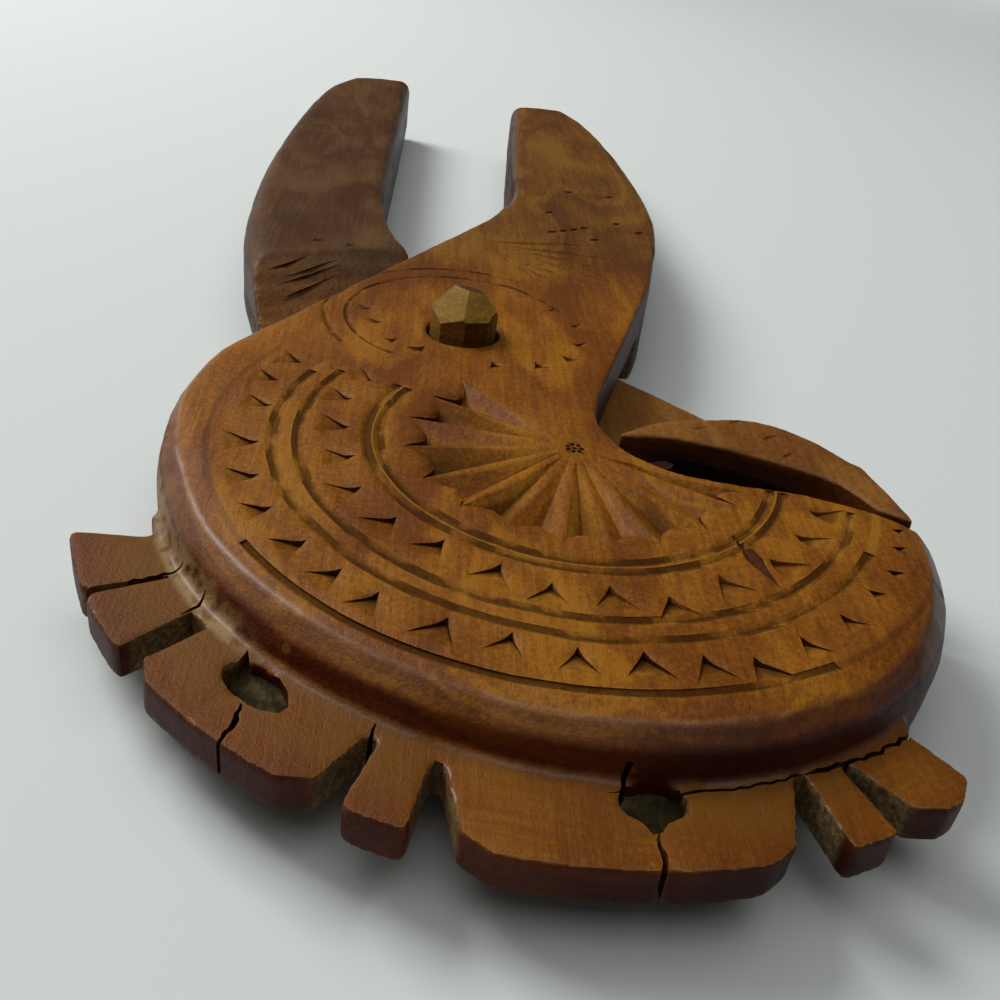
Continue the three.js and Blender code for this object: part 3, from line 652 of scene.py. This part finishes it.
# Worn levers
def worn_copy(node, name):
    piece = copy_mesh(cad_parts[node], name)
    piece.data.materials.clear()
    make_active(piece)
    bpy.ops.object.mode_set(mode="EDIT")
    bpy.ops.mesh.select_all(action="SELECT")
    bpy.ops.mesh.remove_doubles(threshold=MERGE * MM)
    bpy.ops.object.mode_set(mode="OBJECT")
    add_modifier(piece, "even mesh", "REMESH", mode="VOXEL", voxel_size=LEVER_VOXEL * MM)
    add_modifier(piece, "worn edges", "SMOOTH", factor=0.5, iterations=SMOOTH_REPEATS)
    knife = bpy.data.textures.new("knife marks", "CLOUDS")
    knife.noise_scale = KNIFE_WAVE * MM
    knife.noise_depth = KNIFE_DETAIL
    add_modifier(piece, "fewer faces", "DECIMATE", ratio=KEPT_FACES)
    add_modifier(piece, "knife marks", "DISPLACE", texture=knife, texture_coords="LOCAL",
                 strength=KNIFE_DEPTH * MM, mid_level=1)
    apply_modifiers(piece)
    return piece


# Cutters
def cone_cutter(name, sides, depth):
    """A cone that hangs from the face by its base, with its point at the given depth."""
    bpy.ops.mesh.primitive_cone_add(vertices=sides, radius1=0, radius2=MM, depth=depth * MM,
                                    location=(0, 0, -depth / 2 * MM))
    cutter = bpy.context.object
    cutter.name = name
    apply_place(cutter)
    return cutter


def shape_cutter(cutter, rim, foot, depth, lift=0.4):
    """Moves a cone cutter's rim corners to plan places and its point to the foot, and lifts the rim clear."""
    corners = sorted((v for v in cutter.data.vertices if v.co.z > -0.5 * depth * MM),
                     key=lambda v: math.atan2(v.co.y, v.co.x) % (2 * math.pi))
    lowest = min(cutter.data.vertices, key=lambda v: v.co.z)
    lowest.co = Vector((foot[0], foot[1], -depth)) * MM
    grow = 1 + lift / depth
    for corner, (x, y) in zip(corners, rim):
        corner.co = Vector((foot[0] + (x - foot[0]) * grow, foot[1] + (y - foot[1]) * grow, lift)) * MM
    return cutter


def paint(cutter, materials, choose):
    """Gives a cutter its materials, and each face the one that choose picks by the face's centre."""
    cutter.data.materials.clear()
    for material in materials:
        cutter.data.materials.append(material)
    for polygon in cutter.data.polygons:
        polygon.material_index = choose(polygon.center / MM)
    return cutter


def carve(piece, cutters, label, operation="DIFFERENCE"):
    tool = join(cutters, label)
    make_active(tool)
    bpy.ops.object.mode_set(mode="EDIT")
    bpy.ops.mesh.select_all(action="SELECT")
    bpy.ops.mesh.normals_make_consistent(inside=False)
    bpy.ops.object.mode_set(mode="OBJECT")
    add_modifier(piece, label, "BOOLEAN", operation=operation, solver="MANIFOLD", object=tool)
    apply_modifiers(piece)
    bpy.data.objects.remove(tool)


def ring_cutter(piece, centre, radius, first, last, width=RING_WIDTH):
    """A V-groove along an arc: a square on its corner, spun about the centre, that follows the surface."""
    steps = max(8, int(abs(last - first) / RING_STEP))
    bpy.ops.mesh.primitive_circle_add(vertices=4, radius=width / 2 * MM, fill_type="NGON",
                                      rotation=(math.radians(90), 0, 0))
    tool = bpy.context.object
    apply_place(tool)
    place(tool, radius, 0, 0, sizes=(1, 1, RING_FLATNESS))
    place(tool, 0, 0, 0, first)
    bpy.ops.object.mode_set(mode="EDIT")
    bpy.ops.mesh.select_all(action="SELECT")
    bpy.ops.mesh.spin(steps=steps, angle=math.radians(first - last), center=(0, 0, 0), axis=(0, 0, 1))
    bpy.ops.object.mode_set(mode="OBJECT")
    ochre = OCHRE_RINGS[0] < radius < OCHRE_RINGS[1]
    paint(tool, [ochre_ring if ochre else groove_wood], lambda middle: 0)
    place(tool, centre[0], centre[1], 0)
    for vertex in tool.data.vertices:
        turn = math.degrees(math.atan2(vertex.co.y / MM - centre[1], vertex.co.x / MM - centre[0]))
        vertex.co.z += surface(piece, *polar(centre, radius, turn)) * MM
    return tool


# Groove of the sun: it deepens away from the centre and ends in a steep wall that bows inwards
def groove_pattern():
    half = math.radians(GROOVE_TURN / 2)
    end_x, end_y = RAY_REACH * math.cos(half), RAY_REACH * math.sin(half)
    rim = [(end_x, end_y), (GROOVE_START, 0), (end_x, -end_y)]
    for step in range(1, GROOVE_WALL_STEPS):
        across = 2 * step / GROOVE_WALL_STEPS - 1
        bow = (1 - across * across) * (end_x - GROOVE_REACH)
        rim.append((end_x - bow, across * end_y))
    groove = cone_cutter("groove", len(rim), GROOVE_DEPTH)
    shape_cutter(groove, rim, (GROOVE_REACH - GROOVE_END_RUN, 0), GROOVE_DEPTH, lift=0.3)
    # The steep end wall gets the dark cut wall: grime with painted shade
    return paint(groove, [groove_wood, cut_wall_grime_and_shade], lambda middle: 1 if middle.x > GROOVE_REACH - 1 else 0)


# Chip: a three-sided nick with its point towards the middle, two steep walls and a long floor
def chip_pattern(length, width, depth=CHIP_DEPTH):
    chip = cone_cutter("chip", 3, depth)
    foot = (CHIP_FOOT * length, 0)
    shape_cutter(chip, ((length, width / 2), (0, 0), (length, -width / 2)), foot, depth)
    # The steep walls get the dark cut wall, grime with painted shade; the floor gets the ochre of bare wood
    return paint(chip, [chip_floor, cut_wall_grime_and_shade], lambda middle: 0 if middle.x > 0.5 * length else 1)


# Knife groove: a long thin nick of unit length, steep at its start and running out at its end
def blade_pattern(width, depth, material):
    blade = cone_cutter("blade cut", 4, depth)
    rim = ((1, 0), (0.45, width / 2), (0, 0), (0.45, -width / 2))
    shape_cutter(blade, rim, (0.4, 0), depth, lift=0.2)
    return paint(blade, [material], lambda middle: 0)


def surface(piece, x, y):
    """Height of the piece's top over a place in plan."""
    found, spot, *others = piece.ray_cast(Vector((x, y, 2 * FACE)) * MM, Vector((0, 0, -1)))
    return spot.z / MM if found else TOP


def blade_cut(piece, pattern, start, end):
    """Lays a blade pattern along the piece's surface from one place to another."""
    length = math.dist(start, end)
    turn = math.degrees(math.atan2(end[1] - start[1], end[0] - start[0]))
    first, last = surface(piece, *start), surface(piece, *end)
    cut = copy_mesh(pattern, "blade cut copy")
    lean = Matrix.Identity(4)
    lean[0][0] = length
    lean[2][0] = last - first
    cut.data.transform(lean)
    return place(cut, start[0], start[1], first, turn)


def carve_sun(head):
    pattern = groove_pattern()
    grooves = []
    for before, after in zip(RAY_ANGLES, RAY_ANGLES[1:]):
        wide = math.tan(math.radians((after - before) / 2)) / math.tan(math.radians(GROOVE_TURN / 2))
        groove = copy_mesh(pattern, "groove copy")
        worn = (before - GROOVE_WORN[0]) / (GROOVE_WORN[1] - GROOVE_WORN[0])
        deep = GROOVE_DEEPER + (1 - GROOVE_DEEPER) * min(1, max(0, worn))
        grooves.append(place(groove, *SUN, TOP, (before + after) / 2, (1, wide, deep)))
    bpy.data.objects.remove(pattern)
    carve(head, grooves[::2], "grooves")
    carve(head, grooves[1::2], "grooves between")
    pits = []
    for index in range(STAR_PITS + 1):
        pit = cone_cutter("pit", 6, PIT_DEPTH)
        place(pit, 0, 0, PIT_LIFT, sizes=(PIT_SIZE, PIT_SIZE, 1))
        # The star's pits are dark cut wall: grime with painted shade
        paint(pit, [cut_wall_grime_and_shade], lambda middle: 0)
        away = STAR_RADIUS if index < STAR_PITS else 0
        pits.append(place(pit, *polar(SUN, away, 360 * index / STAR_PITS), TOP))
    return pits


def chip_cutters(head, chance):
    rows = [(INNER_CHIPS, INNER_CHIP_SIZE), (OUTER_CHIPS, OUTER_CHIP_SIZE), (SMALL_CHIPS, SMALL_CHIP_SIZE)]
    chips = []
    for row, sizes in rows:
        pattern = chip_pattern(*sizes)
        for angle, away in row:
            x, y = polar(SUN, away, angle)
            turn = angle + chance.uniform(-CHIP_TURN, CHIP_TURN)
            size = [chance.uniform(*spread) for spread in CHIP_SPREAD]
            chips.append(place(copy_mesh(pattern, "chip copy"), x, y, surface(head, x, y), turn, size))
        bpy.data.objects.remove(pattern)
    pattern = chip_pattern(*PEG_CHIP_SIZE, PEG_CHIP_DEPTH)
    for x, y in PEG_CHIPS:
        turn = math.degrees(math.atan2(y - PEG_CHIP_CENTRE[1], x - PEG_CHIP_CENTRE[0]))
        size = chance.uniform(*PEG_CHIP_SPREAD)
        turn += chance.uniform(-PEG_CHIP_TURN, PEG_CHIP_TURN)
        chips.append(place(copy_mesh(pattern, "peg chip"), x, y, surface(head, x, y), turn, (size, size, 1)))
    bpy.data.objects.remove(pattern)
    return chips


def carve_lines(head):
    carve(head, [ring_cutter(head, SUN, *line) for line in RING_LINES], "ring lines")
    rings = [ring_cutter(head, PEG_RING_CENTRE, *line, width=PEG_RING_WIDTH) for line in PEG_RINGS]
    carve(head, rings, "peg rings")


# Unless told otherwise, the grooves are dark cut wall: grime with painted shade
def blade_cutters(piece, width, depth, ways, material=cut_wall_grime_and_shade):
    """One knife groove of the given width along each way."""
    pattern = blade_pattern(width, depth, material)
    cuts = [blade_cut(piece, pattern, start, end) for start, end in ways]
    bpy.data.objects.remove(pattern)
    return cuts


def prick_cutters(piece, places):
    length, width = PRICK_SIZE
    ways = [((x, y), (x + PRICK_LEAN[0] * length, y + PRICK_LEAN[1] * length)) for x, y in places]
    return blade_cutters(piece, width, PRICK_DEPTH, ways)


def carve_fan(piece, fan, size, material, others):
    """Cuts every other groove of a fan and then the ones between, as they meet at the fan's root."""
    cuts = blade_cutters(piece, *size, fan, material)
    carve(piece, cuts[::2], "fan grooves")
    carve(piece, cuts[1::2] + others, "fan grooves between")


# Comb
def comb_angle(share):
    return COMB_START + share * COMB_SWEEP


def prism_cutter(name, corners, top, bottom, material):
    """An upright block over the given outline in plan."""
    bpy.ops.mesh.primitive_circle_add(vertices=len(corners), radius=MM, fill_type="NGON")
    block = bpy.context.object
    block.name = name
    for vertex, (x, y) in zip(block.data.vertices, corners):
        vertex.co = Vector((x, y, bottom)) * MM
    bpy.ops.object.mode_set(mode="EDIT")
    bpy.ops.mesh.select_all(action="SELECT")
    bpy.ops.mesh.extrude_region_move(TRANSFORM_OT_translate={"value": (0, 0, (top - bottom) * MM)})
    bpy.ops.object.mode_set(mode="OBJECT")
    return paint(block, [material], lambda middle: 0)


def crack_outline(way, width, chance):
    """The outline of a crack that wanders along its way and is thin at both ends."""
    places = []
    for start, end in zip(way, way[1:]):
        count = max(1, round(math.dist(start, end) / CRACK_STEP))
        for step in range(count):
            places.append(Vector(start).lerp(Vector(end), step / count))
    places.append(Vector(way[-1]))
    left, right = [], []
    final = len(places) - 1
    for index, spot in enumerate(places):
        ahead = (places[min(index + 1, final)] - places[max(index - 1, 0)]).normalized()
        across = Vector((-ahead.y, ahead.x))
        spot = spot + across * chance.uniform(-CRACK_WANDER, CRACK_WANDER)
        inside = min(index, final - index)
        half = width / 2 * min(1, CRACK_END + inside / CRACK_END_STEPS) * chance.uniform(*CRACK_SPREAD)
        left.append(tuple(spot + across * half))
        right.append(tuple(spot - across * half))
    return left + right[::-1]


def eye_slope(corners):
    """The far wall of an eye, which slants down from the root's side to the comb's edge."""
    middle = sum((Vector(corner) for corner in corners), Vector((0, 0))) / len(corners)
    wider = [tuple(middle + (Vector(corner) - middle) * EYE_OVERLAP) for corner in corners]
    slope = prism_cutter("eye slope", wider, FACE, EYE_FLOOR, shaded_hole_wood)
    reach = [math.dist(corner, COMB_CENTRE) for corner in wider]
    for vertex in slope.data.vertices:
        if vertex.co.z > LAP * MM:
            away = math.dist(vertex.co.xy / MM, COMB_CENTRE)
            share = (away - min(reach)) / (max(reach) - min(reach))
            vertex.co.z = (EYE_SLOPE_TOP + (EYE_SLOPE_FOOT - EYE_SLOPE_TOP) * share) * MM
    return slope


def carve_comb(head, chance):
    low, high = LAP - COMB_THICKNESS, LAP + COMB_THICKNESS
    outer = COMB_TIP + SAW_BEYOND
    beyond = (outer - COMB_ROOT) / (COMB_TIP - COMB_ROOT)
    cuts = []
    for (root_first, root_last), (tip_first, tip_last) in SAW_CUTS:
        first = root_first + (tip_first - root_first) * beyond
        last = root_last + (tip_last - root_last) * beyond
        corners = [polar(COMB_CENTRE, outer, comb_angle(first)),
                   polar(COMB_CENTRE, outer, comb_angle(last)),
                   polar(COMB_CENTRE, COMB_ROOT, comb_angle(root_last)),
                   polar(COMB_CENTRE, COMB_ROOT, comb_angle(root_first))]
        cuts.append(prism_cutter("saw cut", corners, high, low, raw_wood))
    carve(head, cuts, "saw cuts")
    # The eyes' walls and slopes are raw wood darkened by painted shade
    carve(head, [prism_cutter("eye", corners, high, low, shaded_hole_wood) for corners in EYES], "eyes")
    carve(head, [eye_slope(corners) for corners in EYES], "eye slopes", "UNION")
    cracks = [(way, KERF_WIDTH, high, low) for way in KERFS] + list(CRACKS)
    # The cracks are dark cut wall: grime with painted shade
    cuts = [prism_cutter("crack", crack_outline(way, width, chance), top, bottom, cut_wall_grime_and_shade)
            for way, width, top, bottom in cracks]
    carve(head, cuts[::2], "cracks")
    carve(head, cuts[1::2], "other cracks")


def finish_piece(piece, body, node):
    make_active(piece)
    bpy.ops.object.shade_smooth_by_angle(angle=math.radians(SMOOTH_ANGLE))
    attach(piece, body)
    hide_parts(node)


def build_head():
    head = worn_copy("head_lever", "carved_head")
    head.data.materials.append(varnished)
    chance = random.Random(SEED)
    marks = prick_cutters(head, HEAD_PRICKS)
    pits = carve_sun(head)
    carve_lines(head)
    carve(head, pits + chip_cutters(head, chance), "chips")
    carve_fan(head, HEAD_FAN, HEAD_FAN_SIZE, groove_wood, marks + blade_cutters(head, *GOUGE_SIZE, [GOUGE]))
    carve_comb(head, chance)
    finish_piece(head, "head", "head_lever")
    return head


def build_jaw():
    jaw = worn_copy("jaw_lever", "carved_jaw")
    jaw.data.materials.append(dark_varnished)
    nicks = blade_cutters(jaw, *NICK_SIZE, HOOD_NICKS)
    carve_fan(jaw, JAW_FAN, JAW_FAN_SIZE, dark_varnished, nicks + prick_cutters(jaw, JAW_PRICKS))
    finish_piece(jaw, "jaw", "jaw_lever")
    return jaw


def build_peg():
    peg = copy_mesh(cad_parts["pivot_peg"], "whittled_peg")
    peg.data.materials.clear()
    make_active(peg)
    bpy.ops.object.mode_set(mode="EDIT")
    bpy.ops.mesh.select_all(action="SELECT")
    bpy.ops.mesh.remove_doubles(threshold=MERGE * MM)
    for facing, height, away, name in PEG_PLANES:
        flat = Vector((facing[0], facing[1], 0)).normalized()
        spot = (flat * away + Vector((0, 0, height))) * MM
        bpy.ops.mesh.select_all(action="SELECT")
        bpy.ops.mesh.bisect(plane_co=spot, plane_no=facing, use_fill=True, clear_outer=True)
    bpy.ops.object.mode_set(mode="OBJECT")
    names = list(peg_light_and_shade_woods)
    for material in peg_light_and_shade_woods.values():
        peg.data.materials.append(material)
    # Each face gets the copy with painted light and shade for the plane it faces most
    for polygon in peg.data.polygons:
        best = max(PEG_PLANES, key=lambda plane: Vector(plane[0]).normalized().dot(polygon.normal))
        polygon.material_index = names.index(best[3])
    add_modifier(peg, "knife edges", "BEVEL", width=PEG_BEVEL * MM, segments=2, limit_method="ANGLE")
    apply_modifiers(peg)
    finish_piece(peg, "head", "pivot_peg")
    return peg


# Studio
def add_camera():
    data = bpy.data.cameras.new("camera")
    data.lens = CAMERA_LENS_WIDTH
    data.sensor_width = SENSOR_WIDTH
    data.clip_start = NEAREST_SEEN * MM
    camera = bpy.data.objects.new("camera", data)
    bpy.context.scene.collection.objects.link(camera)
    pitch, roll = math.radians(CAMERA_PITCH), math.radians(CAMERA_ROLL)
    hx, hy = Vector(CAMERA_HEADING).normalized()
    ahead = Vector((hx * math.cos(pitch), hy * math.cos(pitch), -math.sin(pitch)))
    level = Vector((hy, -hx, 0))
    upright = level.cross(ahead)
    right = level * math.cos(roll) + upright * math.sin(roll)
    up = upright * math.cos(roll) - level * math.sin(roll)
    turn = Matrix((right, up, -ahead)).transposed()
    camera.matrix_world = Matrix.Translation(Vector(CAMERA_PLACE) * MM) @ turn.to_4x4()
    bpy.context.scene.camera = camera


def fade_floor(tree, shader):
    """The camera sees the far floor turn into the pale background."""
    where = new_node(tree, "ShaderNodeTexCoord").outputs["Object"]
    away = new_node(tree, "ShaderNodeVectorMath", {0: where}, operation="LENGTH").outputs["Value"]
    seen = new_node(tree, "ShaderNodeLightPath").outputs["Is Camera Ray"]
    far = times(tree, fade_length(tree, away, FLOOR_FADE), seen)
    glow = new_node(tree, "ShaderNodeEmission", {"Color": BACKGROUND, "Strength": BACKGROUND_LEVEL})
    both = new_node(tree, "ShaderNodeMixShader", {0: far, 1: shader.outputs[0], 2: glow.outputs[0]})
    tree.links.new(both.outputs[0], tree.nodes["Material Output"].inputs["Surface"])


def add_floor():
    bpy.ops.mesh.primitive_plane_add(size=FLOOR_WIDTH * MM, location=(0, 0, 0))
    floor = bpy.context.object
    floor.name = "floor"
    material = bpy.data.materials.new("pale floor")
    material.use_nodes = True
    shader = material.node_tree.nodes["Principled BSDF"]
    shader.inputs["Base Color"].default_value = FLOOR_TONE
    shader.inputs["Roughness"].default_value = 0.9
    shader.inputs["Specular IOR Level"].default_value = 0.1
    fade_floor(material.node_tree, shader)
    floor.data.materials.append(material)


def add_lamp(name, place_mm, size_mm, watts):
    data = bpy.data.lights.new(name, "AREA")
    data.shape = "SQUARE"
    data.size = size_mm * MM
    data.energy = watts
    lamp = bpy.data.objects.new(name, data)
    bpy.context.scene.collection.objects.link(lamp)
    lamp.location = Vector(place_mm) * MM
    lamp.rotation_euler = (-lamp.location).to_track_quat("-Z", "Y").to_euler()


def add_light():
    world = bpy.data.worlds.new("studio")
    world.use_nodes = True
    tree = world.node_tree
    seen = new_node(tree, "ShaderNodeLightPath").outputs["Is Camera Ray"]
    back = tree.nodes["Background"]
    back.inputs["Color"].default_value = BACKGROUND
    tree.links.new(fade(tree, seen, 0, 1, WORLD_LEVEL, BACKGROUND_LEVEL), back.inputs["Strength"])
    bpy.context.scene.world = world
    add_lamp("window", *WINDOW_LAMP)
    add_lamp("ceiling", *CEILING_LAMP)
    bpy.context.scene.view_settings.view_transform = "Standard"


add_camera()
add_light()
head = build_head()
jaw = build_jaw()
peg = build_peg()
add_floor()
